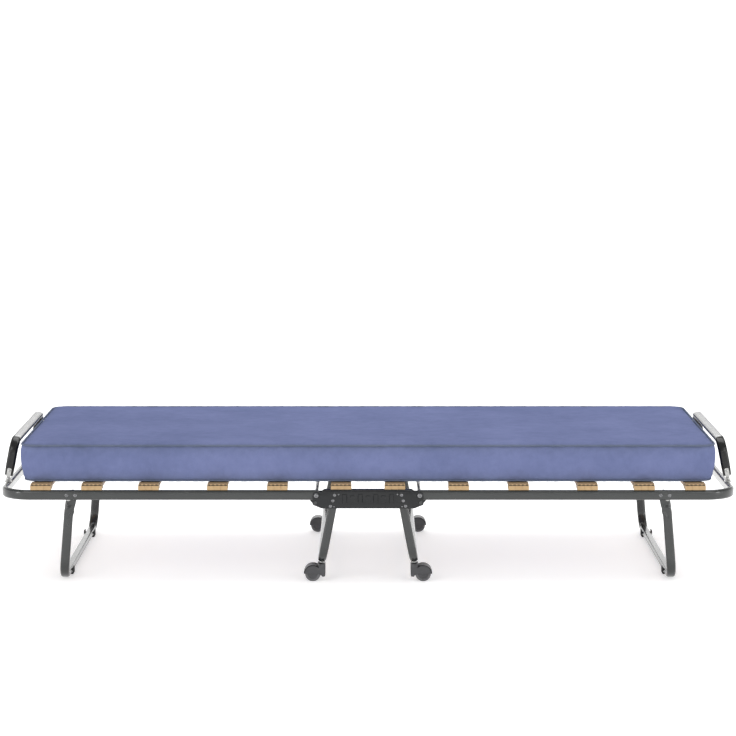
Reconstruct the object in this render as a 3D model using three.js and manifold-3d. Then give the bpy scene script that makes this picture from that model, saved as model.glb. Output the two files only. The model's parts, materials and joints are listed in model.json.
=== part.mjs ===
// A folding cot on casters. Two wings, each a bent flat-oval tube with slats across it, fold up about a low
// middle section. The end legs, the link bars that drive them and the mattress retainers ride on the wings.
//
// Millimetres. +X runs along the bed, -Y is the near side and +Z is up. The origin is on the floor, in the
// middle.
import * as THREE from "three";
import { mergeVertices } from "three/addons/utils/BufferGeometryUtils.js";
import Module from "manifold-3d";

const wasm = await Module();
wasm.setup();

// ---- Driving dimensions ----
const HALF_LENGTH = 950; // outer face of each end bar
const HALF_WIDTH = 400; // outer face of each side plate
const PIVOT_X = 133; // the fold pivots, either side of the middle
const PIVOT_Z = 232; // height of the pivots and of the rails' centreline
const GAP = 0.3; // between pieces that touch
const BORE_GAP = 0.2; // radial clearance of a pin in its hole

const WING_TUBE = { wide: 26, thick: 15 };
const LEG_TUBE = { wide: 24, thick: 14 };
const CASTER_LEG_TUBE = { wide: 22, thick: 14 };
const TUBE_CORNER = 6; // outside radius of a tube section's corners

const RAIL_Y = 389; // centreline of each side rail
const RAIL_END = WING_TUBE.wide / 2; // radius of the rail's rounded pivot end
const WING_REACH = HALF_LENGTH - PIVOT_X - WING_TUBE.thick / 2; // pivot to the end bar's centreline
const WING_BEND = 75;

const PLATE = 2.5; // sheet thickness of the side plates
const PLATE_TOP = 15; // above the pivots
const INNER_WEB_Y = 376; // inner face of a side plate's inner web
const FLANGE_REACH = 110; // half the length of the flange over the webs
const OUTER_WEB_REACH = 142.5;
const INNER_WEB_REACH = 149; // further out, to carry the link pins
const RIBS = { count: 7, pitch: 20, wide: 6, low: -19, high: 1, proud: 1 };
const PLATE_RIVETS = { places: [[86, 0], [89, -13], [92, -26]], r: 4, proud: 1.8 };
const BOLT_R = 4;
const BOLT_HEAD = { r: 7, tall: 3.7 };
const TIE_ROD = { x: 135, z: -18.5, r: 5, proud: 1.5 };

const LEG_PIVOT = { x: -630, z: -3 }; // from the fold pivot
const LEG_Y = 362;
const LEG_ELBOW = { x: -10, z: -45, bend: 60 }; // from the leg's own pivot
const LEG_LEAN = THREE.MathUtils.degToRad(4.9);
const LEG_BEND = 45;
const LEG_PIN_R = 4;
const PIN_HEAD = { r: 6.5, tall: 3.2 };
const FOOT = { y: 260, long: 20, sole: 3.2, wall: 3, rise: 9, chamfer: 2 };

const LINK_OFFSET = { x: -9.5, z: -8.5 }; // each link pin from its pivot, on the base and on the leg alike
const LINK = { y: 371, thick: 3, wide: 7, baseEye: 5.5, legEye: 7.5, legSlack: 1.6 };
const LINK_PIN_R = 3;

const RIVET_R = 3;
const RIVET_HEAD = { r: 5, tall: 1.8 };
const RIVET_PITCH = 22;
const BRACKET = { half: 24, rise: 11, thick: 2.7 };

const RETAINER = { y: 260, height: 103, pivotZ: 21, bend: 35, lean: THREE.MathUtils.degToRad(11) };
const RETAINER_FOOT = 9; // the tube starts this far above the hinge pins
const RETAINER_PIN_R = 2.5;
const LUG = { half: 3, deep: 8, r: 5 };
const EAR = { in: 3.4, out: 5.4, long: 10, top: 4 };

const SLAT = { wide: 53, board: 50, thick: 11, sunk: 3, capLong: 40, capTall: 15.7, inset: 4 };
const BASE_SLAT_TALL = 13.7; // the base's slats stand on the side plates, a little higher than the rails
const WING_SLATS = [100, 254, 431, 577, 708]; // from the fold pivot
const BASE_SLATS = [-69, 69];

const MATTRESS = { halfLength: 903, width: 744, thick: 96, corner: 40 };
const MATTRESS_Z = WING_TUBE.wide / 2 + 16 + GAP; // its underside, above the pivots
const FOLD_ZONE = 134; // of mattress either side of a fold pivot that bends

const CASTER = { x: 119, y: 345, trail: 24, wheelR: 20, top: 46, bottom: 13 };
const WHEEL = { inY: 5.4, outY: 18.4, rim: 1.5, axleR: 3 };
const FENDER = { thick: 2.3, gap: 3.5, from: 38, to: 165 };
const STEM = { r: 4, collarR: 8, from: 31 };
const HOOD = { webHalf: 4.6, roofHalf: 15, roof: 4.5, inboard: 8.5, hubR: 7 };
const CASTER_LEG = { topX: 83.7, topZ: 8, y: 388, bend: 42, bottomZ: 58 };

// ---- Solids ----
// A closed geometry as a solid that can be cut and joined.
function solidOf(geometry) {
  const bare = geometry.index ? geometry.toNonIndexed() : geometry.clone();
  bare.deleteAttribute("normal");
  bare.deleteAttribute("uv");
  const merged = mergeVertices(bare, 1e-3);
  return new wasm.Manifold(
    new wasm.Mesh({
      numProp: 3,
      vertProperties: merged.attributes.position.array,
      triVerts: new Uint32Array(merged.index.array),
    }),
  );
}

function geometryOf(solid) {
  const mesh = solid.getMesh();
  const geometry = new THREE.BufferGeometry();
  geometry.setAttribute("position", new THREE.BufferAttribute(new Float32Array(mesh.vertProperties), 3));
  geometry.setIndex(new THREE.BufferAttribute(new Uint32Array(mesh.triVerts), 1));
  geometry.computeVertexNormals();
  return geometry;
}

const joined = (...solids) => solids.reduce((whole, piece) => whole.add(piece));
const cut = (whole, ...tools) => tools.reduce((rest, tool) => rest.subtract(tool), whole);

// A box between two corners.
function block([x0, y0, z0], [x1, y1, z1]) {
  const geometry = new THREE.BoxGeometry(x1 - x0, y1 - y0, z1 - z0);
  geometry.translate((x0 + x1) / 2, (y0 + y1) / 2, (z0 + z1) / 2);
  return solidOf(geometry);
}

// A round bar along Y from y0 to y1, with its axis at x, z.
function barY(x, z, y0, y1, radius, segments = 12) {
  const geometry = new THREE.CylinderGeometry(radius, radius, Math.abs(y1 - y0), segments);
  geometry.translate(x, (y0 + y1) / 2, z);
  return solidOf(geometry);
}

// A profile in X and Z, extruded along Y from y0 to y1.
function plateY(shape, y0, y1, curveSegments = 6) {
  const geometry = new THREE.ExtrudeGeometry(shape, { depth: y1 - y0, bevelEnabled: false, curveSegments });
  geometry.rotateX(Math.PI / 2);
  geometry.translate(0, y1, 0);
  return solidOf(geometry);
}

// ---- Tubes ----
// A tube section, wide along the shape's x.
function tubeSection({ wide, thick }) {
  const r = TUBE_CORNER;
  const [x, y] = [wide / 2 - r, thick / 2 - r];
  const shape = new THREE.Shape();
  shape.absarc(x, -y, r, -Math.PI / 2, 0);
  shape.absarc(x, y, r, 0, Math.PI / 2);
  shape.absarc(-x, y, r, Math.PI / 2, Math.PI);
  shape.absarc(-x, -y, r, Math.PI, 1.5 * Math.PI);
  shape.closePath();
  return shape;
}

// A run through stations, whose section keeps its wide side along one direction.
class TubeRun extends THREE.Curve {
  constructor(stations, wideAlong) {
    super();
    this.stations = stations;
    this.wideAlong = wideAlong;
  }

  getPoint(t) {
    const place = t * (this.stations.length - 1);
    const before = Math.min(Math.floor(place), this.stations.length - 2);
    return this.stations[before].clone().lerp(this.stations[before + 1], place - before);
  }

  getUtoTmapping(u) {
    return u;
  }

  computeFrenetFrames() {
    const last = this.stations.length - 1;
    const frames = { tangents: [], normals: [], binormals: [] };
    this.stations.forEach((station, i) => {
      const into = station.clone().sub(this.stations[Math.max(i - 1, 0)]).normalize();
      const out = this.stations[Math.min(i + 1, last)].clone().sub(station).normalize();
      const tangent = into.add(out).normalize();
      const along = this.wideAlong.dot(tangent);
      const normal = this.wideAlong.clone().addScaledVector(tangent, -along).normalize();
      frames.tangents.push(tangent);
      frames.normals.push(normal);
      frames.binormals.push(tangent.clone().cross(normal));
    });
    return frames;
  }
}

// The stations of a bent run: its corners, each rounded to a radius in a few steps.
function bentRun(corners, radii, steps) {
  const stations = [corners[0]];
  for (let i = 1; i < corners.length - 1; i++) {
    const before = corners[i - 1].clone().sub(corners[i]).normalize();
    const after = corners[i + 1].clone().sub(corners[i]).normalize();
    const half = before.angleTo(after) / 2;
    const sweep = Math.PI - 2 * half;
    const radius = radii[i - 1];
    const reach = radius / Math.tan(half);
    const bisector = before.clone().add(after).normalize();
    const centre = corners[i].clone().addScaledVector(bisector, radius / Math.sin(half));
    const start = corners[i].clone().addScaledVector(before, reach).sub(centre);
    const end = corners[i].clone().addScaledVector(after, reach).sub(centre);
    for (let k = 0; k <= steps[i - 1]; k++) {
      const share = k / steps[i - 1];
      const spoke = start.clone().multiplyScalar(Math.sin((1 - share) * sweep) / Math.sin(sweep));
      spoke.addScaledVector(end, Math.sin(share * sweep) / Math.sin(sweep));
      stations.push(centre.clone().add(spoke));
    }
  }
  stations.push(corners[corners.length - 1]);
  return stations;
}

function tube(section, corners, radii, steps, wideAlong) {
  const stations = bentRun(corners.map((c) => new THREE.Vector3(...c)), radii, steps);
  const geometry = new THREE.ExtrudeGeometry(tubeSection(section), {
    steps: stations.length - 1,
    extrudePath: new TubeRun(stations, new THREE.Vector3(...wideAlong)),
    curveSegments: 2,
  });
  return solidOf(geometry);
}

// Runs make(sign) for the -Y side and the +Y side, and joins what they give.
const bothSides = (make) => joined(make(-1), make(1));

// ---- Materials ----
const paint = new THREE.MeshStandardMaterial({ color: 0x3f4242, roughness: 0.3, metalness: 0.7 });
const zinc = new THREE.MeshStandardMaterial({ color: 0xa8a8a4, roughness: 0.35, metalness: 0.9 });
const beech = new THREE.MeshStandardMaterial({ color: 0xb08a55, roughness: 0.6, metalness: 0 });
const casterPlastic = new THREE.MeshStandardMaterial({ color: 0x4a4a4c, roughness: 0.45, metalness: 0 });
const footPlastic = new THREE.MeshStandardMaterial({ color: 0x101012, roughness: 0.5, metalness: 0 });
const ticking = new THREE.MeshStandardMaterial({ color: 0x757fae, roughness: 0.85, metalness: 0 });

function piece(name, solid, material, parent) {
  const mesh = new THREE.Mesh(geometryOf(solid), material);
  mesh.name = name;
  parent.add(mesh);
  return mesh;
}

// ---- Base: two side plates, two caster legs, tie rods, pivot bolts and slats ----
// The outline of a side plate's web, from the middle of its top edge round to the bottom, on one side.
function webEdge(reach) {
  return [
    [FLANGE_REACH, PLATE_TOP],
    [118, 9.5],
    [PIVOT_X, 9.5],
    [reach, 0],
    [reach, -17],
    [OUTER_WEB_REACH, -24],
    [119, -33.5],
  ];
}

function webShape(reach) {
  const right = webEdge(reach);
  const left = right.map(([x, z]) => [-x, z]).reverse();
  return new THREE.Shape([...right, ...left].map(([x, z]) => new THREE.Vector2(x, z)).reverse());
}

// An inverted channel: the rails' ends and the caster legs stand between its two webs.
function sidePlate() {
  const outer = -HALF_WIDTH;
  const inner = -INNER_WEB_Y;
  const outerWeb = plateY(webShape(OUTER_WEB_REACH), outer, outer + PLATE);
  const innerWeb = plateY(webShape(INNER_WEB_REACH), inner - PLATE, inner);
  const flange = block([-FLANGE_REACH, outer, PLATE_TOP - PLATE], [FLANGE_REACH, inner, PLATE_TOP]);
  const ribs = Array.from({ length: RIBS.count }, (_, i) => {
    const x = (i - (RIBS.count - 1) / 2) * RIBS.pitch;
    const half = RIBS.wide / 2;
    return block([x - half, outer - RIBS.proud, RIBS.low], [x + half, outer + PLATE / 2, RIBS.high]);
  });
  const { places, r, proud } = PLATE_RIVETS;
  const linkX = PIVOT_X - LINK_OFFSET.x;
  const pinEnd = -LINK.y + LINK.thick / 2;
  const ends = [-1, 1].flatMap((side) => [
    ...places.map(([x, z]) => barY(side * x, z, outer - proud, outer + PLATE / 2, r, 8)),
    barY(side * linkX, LINK_OFFSET.z, inner - PLATE / 2, pinEnd, LINK_PIN_R),
  ]);
  const bores = [-1, 1].flatMap((side) => [
    barY(side * PIVOT_X, 0, outer - 1, inner + 1, BOLT_R + BORE_GAP),
    barY(side * TIE_ROD.x, TIE_ROD.z, outer - 1, inner + 1, TIE_ROD.r + BORE_GAP),
  ]);
  return cut(joined(outerWeb, innerWeb, flange, ...ribs, ...ends), ...bores);
}

function pivotBolt() {
  const face = -HALF_WIDTH - GAP;
  const head = barY(0, 0, face - BOLT_HEAD.tall, face, BOLT_HEAD.r, 18);
  return joined(head, barY(0, 0, face - BOLT_HEAD.tall / 2, -INNER_WEB_Y + GAP, BOLT_R));
}

function casterLeg() {
  const { topX, topZ, y, bend, bottomZ } = CASTER_LEG;
  const low = bottomZ - PIVOT_Z;
  const corners = [
    [-topX, -y, topZ],
    [-CASTER.x, -y, low],
    [-CASTER.x, y, low],
    [-topX, y, topZ],
  ];
  return tube(CASTER_LEG_TUBE, corners, [bend, bend], [4, 4], [1, 0, 0]);
}

// A slat with its end caps, which stand on z 0. Its board is held in the caps, sunk below their tops.
function slat(capTall) {
  const { wide, board, thick, sunk, capLong, inset } = SLAT;
  const halfSpan = HALF_WIDTH - inset;
  const capEdge = halfSpan - capLong;
  const top = capTall - sunk;
  const plank = block([-board / 2, -capEdge - 1, top - thick], [board / 2, capEdge + 1, top]);
  const caps = bothSides((side) => {
    const ends = [side * capEdge, side * halfSpan].sort((a, b) => a - b);
    return block([-wide / 2, ends[0], 0], [wide / 2, ends[1], capTall]);
  });
  return joined(plank, caps);
}

function mattressPart(x0, x1, corner) {
  const half = MATTRESS.width / 2;
  const shape = new THREE.Shape();
  shape.moveTo(x1, -half);
  shape.lineTo(x1, half);
  if (corner) {
    shape.absarc(x0 + corner, half - corner, corner, Math.PI / 2, Math.PI);
    shape.absarc(x0 + corner, -half + corner, corner, Math.PI, 1.5 * Math.PI);
  } else {
    shape.lineTo(x0, half);
    shape.lineTo(x0, -half);
  }
  shape.closePath();
  const geometry = new THREE.ExtrudeGeometry(shape, {
    depth: MATTRESS.thick,
    bevelEnabled: false,
    curveSegments: 5,
  });
  geometry.translate(0, 0, MATTRESS_Z);
  return solidOf(geometry);
}

function baseGroup() {
  const group = new THREE.Group();
  group.position.z = PIVOT_Z;
  piece("side_plate_near", sidePlate(), paint, group);
  piece("side_plate_far", sidePlate(), paint, group).rotation.z = Math.PI;
  const rodEnd = HALF_WIDTH + TIE_ROD.proud;
  for (const [side, sign, turn] of [["left", -1, 0], ["right", 1, Math.PI]]) {
    piece(`caster_leg_${side}`, casterLeg(), paint, group).rotation.z = turn;
    const rod = barY(sign * TIE_ROD.x, TIE_ROD.z, -rodEnd, rodEnd, TIE_ROD.r);
    piece(`tie_rod_${side}`, rod, paint, group);
    for (const [row, spin] of [["near", 0], ["far", Math.PI]]) {
      const bolt = piece(`pivot_bolt_${row}_${side}`, pivotBolt(), zinc, group);
      bolt.position.x = sign * PIVOT_X;
      bolt.rotation.z = spin;
    }
  }
  BASE_SLATS.forEach((x, i) => {
    piece(`base_slat_${i + 1}`, slat(BASE_SLAT_TALL), beech, group).position.set(x, 0, PLATE_TOP + GAP);
  });
  const middle = PIVOT_X + FOLD_ZONE - GAP;
  piece("mattress_middle", mattressPart(-middle, middle, 0), ticking, group);
  return group;
}

// ---- Wing: everything that folds about one pivot line. Its frame is at the pivot, and -X points outward ----
function wingFrame() {
  const y = RAIL_Y;
  const corners = [
    [0, -y, 0],
    [-WING_REACH, -y, 0],
    [-WING_REACH, y, 0],
    [0, y, 0],
  ];
  const run = tube(WING_TUBE, corners, [WING_BEND, WING_BEND], [4, 4], [0, 0, 1]);
  const half = WING_TUBE.thick / 2;
  const ends = bothSides((side) => barY(0, 0, side * y - half, side * y + half, RAIL_END, 16));
  const bores = bothSides((side) => {
    const through = [side * y - half - 1, side * y + half + 1];
    return joined(
      barY(0, 0, ...through, BOLT_R + BORE_GAP),
      ...rivetPlaces().map((x) => barY(x, 0, ...through, RIVET_R + BORE_GAP, 8)),
    );
  });
  return cut(joined(run, ends), bores);
}

const rivetPlaces = () => [LEG_PIVOT.x - RIVET_PITCH / 2, LEG_PIVOT.x + RIVET_PITCH / 2];

// The bracket on the inside of the rail that carries the leg, with its rivets through the rail and its pin.
function legBracket() {
  const { half, rise, thick } = BRACKET;
  const { x, z } = LEG_PIVOT;
  const face = -RAIL_Y + WING_TUBE.thick / 2 + GAP;
  const railOut = -RAIL_Y - WING_TUBE.thick / 2 - GAP;
  const plate = block([x - half, face, -rise], [x + half, face + thick, rise]);
  const rivets = rivetPlaces().flatMap((place) => [
    barY(place, 0, railOut - 1, face + thick / 2, RIVET_R, 8),
    barY(place, 0, railOut - RIVET_HEAD.tall, railOut, RIVET_HEAD.r, 10),
  ]);
  const legIn = -LEG_Y + LEG_TUBE.thick / 2 + GAP;
  const pin = barY(x, z, face + thick / 2, legIn + 1, LEG_PIN_R);
  const pinHead = barY(x, z, legIn, legIn + PIN_HEAD.tall, PIN_HEAD.r);
  return joined(plate, ...rivets, pin, pinHead);
}

// One U of tube. Its frame is at the leg's own pivot.
function endLeg() {
  const floor = -(PIVOT_Z + LEG_PIVOT.z);
  const low = floor + FOOT.sole + GAP + LEG_TUBE.thick / 2;
  const lowX = LEG_ELBOW.x + (low - LEG_ELBOW.z) * Math.tan(LEG_LEAN);
  const near = [
    [0, -LEG_Y, 0],
    [LEG_ELBOW.x, -LEG_Y, LEG_ELBOW.z],
    [lowX, -LEG_Y, low],
  ];
  const far = near.map(([x, y, z]) => [x, -y, z]).reverse();
  const bends = [LEG_ELBOW.bend, LEG_BEND, LEG_BEND, LEG_ELBOW.bend];
  const run = tube(LEG_TUBE, [...near, ...far], bends, [1, 4, 4, 1], [1, 0, 0]);
  const half = LEG_TUBE.thick / 2;
  const endR = LEG_TUBE.wide / 2;
  const ends = bothSides((side) => barY(0, 0, side * LEG_Y - half, side * LEG_Y + half, endR, 16));
  const { x: pinX, z: pinZ } = LINK_OFFSET;
  const pins = bothSides((side) =>
    joined(
      barY(pinX, pinZ, side * LEG_Y, side * (LEG_Y + half), 2 * LINK_PIN_R),
      barY(pinX, pinZ, side * LEG_Y, side * (LINK.y + LINK.thick + 1), LINK_PIN_R),
    ),
  );
  const bores = bothSides((side) => {
    const through = [side * LEG_Y - half - 1, side * LEG_Y + half + 1];
    return barY(0, 0, ...through, LEG_PIN_R + BORE_GAP);
  });
  return { solid: cut(joined(run, ends, pins), bores), lowX, low };
}

// A saddle that clips round the leg's cross tube and stands on the floor. Its frame is at the tube's centre.
function footClip() {
  const inX = LEG_TUBE.wide / 2 + GAP;
  const outX = inX + FOOT.wall;
  const inZ = -LEG_TUBE.thick / 2 - GAP;
  const half = [
    [outX - FOOT.chamfer, inZ - FOOT.sole],
    [outX, inZ],
    [outX, FOOT.rise],
    [inX, FOOT.rise],
    [inX, inZ],
  ];
  const outline = [...half, ...half.map(([x, z]) => [-x, z]).reverse()];
  const shape = new THREE.Shape(outline.map(([x, z]) => new THREE.Vector2(x, z)));
  return plateY(shape, -FOOT.long / 2, FOOT.long / 2);
}

// A flat bar with an eye at each end. Its frame is at the base pin, and it runs along -X. The leg's eye is
// larger, because the leg turns a little more than the link does.
function linkBar() {
  const reach = Math.hypot(LEG_PIVOT.x, LEG_PIVOT.z);
  const [y0, y1] = [-LINK.y - LINK.thick, -LINK.y];
  const bar = block([-reach, y0, -LINK.wide / 2], [0, y1, LINK.wide / 2]);
  const eyes = joined(barY(0, 0, y0, y1, LINK.baseEye), barY(-reach, 0, y0, y1, LINK.legEye));
  const bores = [
    barY(0, 0, y0 - 1, y1 + 1, LINK_PIN_R + BORE_GAP),
    barY(-reach, 0, y0 - 1, y1 + 1, LINK_PIN_R + LINK.legSlack),
  ];
  return cut(joined(bar, eyes), ...bores);
}

// An inverted U that stands behind the mattress's end. Its frame is at its hinge pins.
function retainer() {
  const { y, height, bend } = RETAINER;
  const corners = [
    [0, -y, RETAINER_FOOT],
    [0, -y, height],
    [0, y, height],
    [0, y, RETAINER_FOOT],
  ];
  const run = tube(LEG_TUBE, corners, [bend, bend], [4, 4], [1, 0, 0]);
  const lugs = bothSides((side) => {
    const [y0, y1] = [side * y - LUG.half, side * y + LUG.half];
    const lug = block([-LUG.deep / 2, y0, 0], [LUG.deep / 2, y1, RETAINER_FOOT + 1]);
    return cut(joined(lug, barY(0, 0, y0, y1, LUG.r)), barY(0, 0, y0 - 1, y1 + 1, RETAINER_PIN_R + BORE_GAP));
  });
  return joined(run, lugs);
}

// Two ears and a pin on the end bar. Its frame is at the pin.
function retainerHinge() {
  const barTop = WING_TUBE.wide / 2 + GAP - RETAINER.pivotZ;
  const sole = block([-8, -9, barTop], [8, 9, barTop + 2]);
  const ears = bothSides((side) => {
    const faces = [side * EAR.in, side * EAR.out].sort((a, b) => a - b);
    return block([-EAR.long / 2, faces[0], barTop + 1], [EAR.long / 2, faces[1], EAR.top]);
  });
  return joined(sole, ears, barY(0, 0, -EAR.out - 1, EAR.out + 1, RETAINER_PIN_R, 10));
}

// The wing that folds up on one side. The right one is the left one turned round, so its rows swap names.
function wingGroup(side) {
  const turned = side === "right";
  const group = new THREE.Group();
  group.position.set(turned ? PIVOT_X : -PIVOT_X, 0, PIVOT_Z);
  group.rotation.z = turned ? Math.PI : 0;
  const rows = turned ? ["far", "near"] : ["near", "far"];

  piece(`wing_frame_${side}`, wingFrame(), paint, group);
  WING_SLATS.forEach((x, i) => {
    const place = piece(`slat_${side}_${i + 1}`, slat(SLAT.capTall), beech, group).position;
    place.set(-x, 0, WING_TUBE.wide / 2 + GAP);
  });
  const mattressEnd = -(MATTRESS.halfLength - PIVOT_X);
  piece(`mattress_${side}`, mattressPart(mattressEnd, -FOLD_ZONE, MATTRESS.corner), ticking, group);

  const leg = endLeg();
  const legGroup = new THREE.Group();
  legGroup.position.set(LEG_PIVOT.x, 0, LEG_PIVOT.z);
  piece(`end_leg_${side}`, leg.solid, paint, legGroup);
  group.add(legGroup);

  const retainerGroup = new THREE.Group();
  retainerGroup.position.set(-WING_REACH, 0, RETAINER.pivotZ);
  retainerGroup.rotation.y = RETAINER.lean;
  piece(`retainer_${side}`, retainer(), paint, retainerGroup);
  group.add(retainerGroup);

  for (const [i, sign] of [-1, 1].entries()) {
    const row = rows[i];
    piece(`leg_bracket_${row}_${side}`, mirroredY(legBracket(), sign), zinc, group);
    const clip = piece(`foot_clip_${row}_${side}`, footClip(), footPlastic, legGroup);
    clip.position.set(leg.lowX, sign * FOOT.y, leg.low);
    const link = piece(`link_bar_${row}_${side}`, mirroredY(linkBar(), sign), zinc, group);
    link.position.set(LINK_OFFSET.x, 0, LINK_OFFSET.z);
    link.rotation.y = -Math.atan2(-LEG_PIVOT.z, -LEG_PIVOT.x);
    const hinge = piece(`retainer_hinge_${row}_${side}`, retainerHinge(), zinc, group);
    hinge.position.set(-WING_REACH, sign * RETAINER.y, RETAINER.pivotZ);
  }
  return group;
}

// A solid made for the -Y row, mirrored across to the +Y row where sign is +1.
const mirroredY = (solid, sign) => (sign > 0 ? solid.mirror([0, 1, 0]) : solid);

// ---- Casters: their frame is on the floor under the stem, and the wheels trail towards -X ----
function casterStem() {
  const top = CASTER_LEG.bottomZ - CASTER_LEG_TUBE.thick / 2 - GAP;
  const collar = CASTER.top + 1;
  const { r, collarR, from } = STEM;
  return latheZ([[0, from], [r, from], [r, collar], [collarR, collar], [collarR, top], [0, top]], 12);
}

// An outline of [radius, z] points turned about Z.
function latheZ(outline, segments) {
  const geometry = new THREE.LatheGeometry(outline.map(([r, z]) => new THREE.Vector2(r, z)), segments);
  geometry.rotateX(Math.PI / 2);
  return solidOf(geometry);
}

function casterHood() {
  const { trail, wheelR, top, bottom } = CASTER;
  const { webHalf, roofHalf, roof, inboard, hubR } = HOOD;
  const fenderR = wheelR + FENDER.gap;
  const angle = THREE.MathUtils.degToRad;

  const web = new THREE.Shape();
  web.absarc(-trail, wheelR, fenderR - 1, angle(60), angle(FENDER.to));
  web.lineTo(-trail - hubR, wheelR - 3);
  web.absarc(-trail, wheelR, hubR, angle(205), angle(320));
  web.lineTo(-4, bottom);
  web.lineTo(8, bottom);
  web.lineTo(8, top);
  web.lineTo(-8, top);
  web.closePath();

  const fender = new THREE.Shape();
  fender.absarc(-trail, wheelR, fenderR, angle(FENDER.from), angle(FENDER.to));
  fender.absarc(-trail, wheelR, fenderR - FENDER.thick, angle(FENDER.to), angle(FENDER.from), true);
  fender.closePath();

  const cap = block([-10, -roofHalf, top - roof], [inboard, roofHalf, top]);
  const skirt = block([-1.5, -roofHalf, bottom], [inboard, roofHalf, top - 1]);
  const socket = latheZ([[0, STEM.from + 1], [8, STEM.from + 1], [8, top], [0, top]], 12);
  const boreR = STEM.r + BORE_GAP;
  const bore = latheZ([[0, STEM.from - 1], [boreR, STEM.from - 1], [boreR, top + 2], [0, top + 2]], 12);
  const axleBore = barY(-trail, wheelR, -8, 8, WHEEL.axleR + BORE_GAP);
  const webs = plateY(web, -webHalf, webHalf, 6);
  const shade = plateY(fender, -WHEEL.outY - 0.2, WHEEL.outY + 0.2, 8);
  return cut(joined(webs, shade, cap, skirt, socket), bore, axleBore);
}

// Twin wheels on their axle, about Y.
function casterWheels() {
  const { wheelR } = CASTER;
  const { inY, outY, rim, axleR } = WHEEL;
  const half = [
    [axleR, inY],
    [wheelR - rim, inY],
    [wheelR, inY + rim],
    [wheelR, outY - rim],
    [wheelR - rim, outY],
    [0, outY],
  ];
  const outline = [...half.map(([r, y]) => [r, -y]).reverse(), ...half];
  const geometry = new THREE.LatheGeometry(outline.map(([r, y]) => new THREE.Vector2(r, y)), 20);
  return solidOf(geometry);
}

function casterGroup(row, side) {
  const group = new THREE.Group();
  group.position.set(side === "left" ? -CASTER.x : CASTER.x, row === "near" ? -CASTER.y : CASTER.y, 0);
  group.rotation.z = side === "left" ? 0 : Math.PI;
  piece(`caster_stem_${row}_${side}`, casterStem(), zinc, group);
  piece(`caster_hood_${row}_${side}`, casterHood(), casterPlastic, group);
  const wheels = piece(`caster_wheels_${row}_${side}`, casterWheels(), casterPlastic, group);
  wheels.position.set(-CASTER.trail, 0, CASTER.wheelR);
  return group;
}

// ---- The whole cot ----
const cot = new THREE.Group();
cot.add(baseGroup());
for (const side of ["left", "right"]) {
  cot.add(wingGroup(side));
  for (const row of ["near", "far"]) cot.add(casterGroup(row, side));
}

export default cot;
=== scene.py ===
"""Looks of the folding cot: bent tube, pressed plates, slats, casters and the simulated mattress.

Metres, in the frame's own axes: +X along the bed, -Y the near side, +Z up.
"""

import json
import math

import bmesh
import bpy
import numpy as np
from mathutils import Matrix, Vector


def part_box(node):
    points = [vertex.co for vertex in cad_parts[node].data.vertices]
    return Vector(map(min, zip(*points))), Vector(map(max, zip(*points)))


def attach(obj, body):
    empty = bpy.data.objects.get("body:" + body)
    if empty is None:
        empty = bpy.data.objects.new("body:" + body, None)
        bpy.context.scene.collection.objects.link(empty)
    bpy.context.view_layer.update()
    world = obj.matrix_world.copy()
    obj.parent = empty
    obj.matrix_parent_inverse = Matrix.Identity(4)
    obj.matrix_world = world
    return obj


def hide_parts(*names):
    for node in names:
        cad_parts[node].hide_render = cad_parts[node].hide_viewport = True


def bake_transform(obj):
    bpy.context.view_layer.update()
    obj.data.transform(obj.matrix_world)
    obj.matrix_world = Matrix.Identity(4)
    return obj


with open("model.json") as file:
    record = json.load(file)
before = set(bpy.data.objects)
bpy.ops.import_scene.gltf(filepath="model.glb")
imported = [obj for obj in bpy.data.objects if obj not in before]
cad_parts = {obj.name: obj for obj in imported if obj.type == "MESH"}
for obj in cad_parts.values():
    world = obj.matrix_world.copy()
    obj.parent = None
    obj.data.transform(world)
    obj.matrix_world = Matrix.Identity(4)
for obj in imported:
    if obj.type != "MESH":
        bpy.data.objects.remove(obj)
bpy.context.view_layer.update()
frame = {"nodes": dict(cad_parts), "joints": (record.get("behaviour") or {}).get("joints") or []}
scene = bpy.context.scene

SIDES = {"left": -1, "right": 1}
ROWS = {"near": -1, "far": 1}
CORNERS = [(f"{row}_{side}", sign, side, end) for row, sign in ROWS.items() for side, end in SIDES.items()]
joints = {j["name"]: j for j in frame["joints"]}


def joint_place(name):
    """A joint's distance along, distance across and height."""
    x, y, z = joints[name]["pos_m"]
    return abs(x), abs(y), z


# ---- Places, from the frame ----
PIVOT_X, _, PIVOT_Z = joint_place("wing_fold_left")
LEG_X, _, LEG_Z = joint_place("leg_fold_left")
LINK_X, _, LINK_Z = joint_place("link_turn_left")
HINGE_X, _, HINGE_Z = joint_place("retainer_swing_left")
CASTER_X, CASTER_Y, _ = joint_place("caster_swivel_near_left")
WHEEL_X, _, WHEEL_R = joint_place("wheel_roll_near_left")

WING_TUBE = (0.026, 0.015)
LEG_TUBE = (0.024, 0.014)
CASTER_TUBE = (0.022, 0.014)
RAIL_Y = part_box("wing_frame_left")[1].y - WING_TUBE[1] / 2
END_X = -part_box("wing_frame_left")[0].x - WING_TUBE[1] / 2
PLATE = 0.0025
HALF_WIDTH = 0.4  # the side plates' outer faces
PLATE_Y = HALF_WIDTH - PLATE / 2  # middle of the side plates' outer web
INNER_WEB_Y = 0.376 + PLATE / 2
LEG_Y = 0.362
LINK_Y = 0.3725
RETAINER_Y = 0.26
FOOT_Y = 0.26
RIVET_PITCH = 0.022


def assign(target, **settings):
    for key, value in settings.items():
        setattr(target, key, value)
    return target


def new_object(name, data):
    obj = bpy.data.objects.new(name, data)
    scene.collection.objects.link(obj)
    return obj


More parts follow.
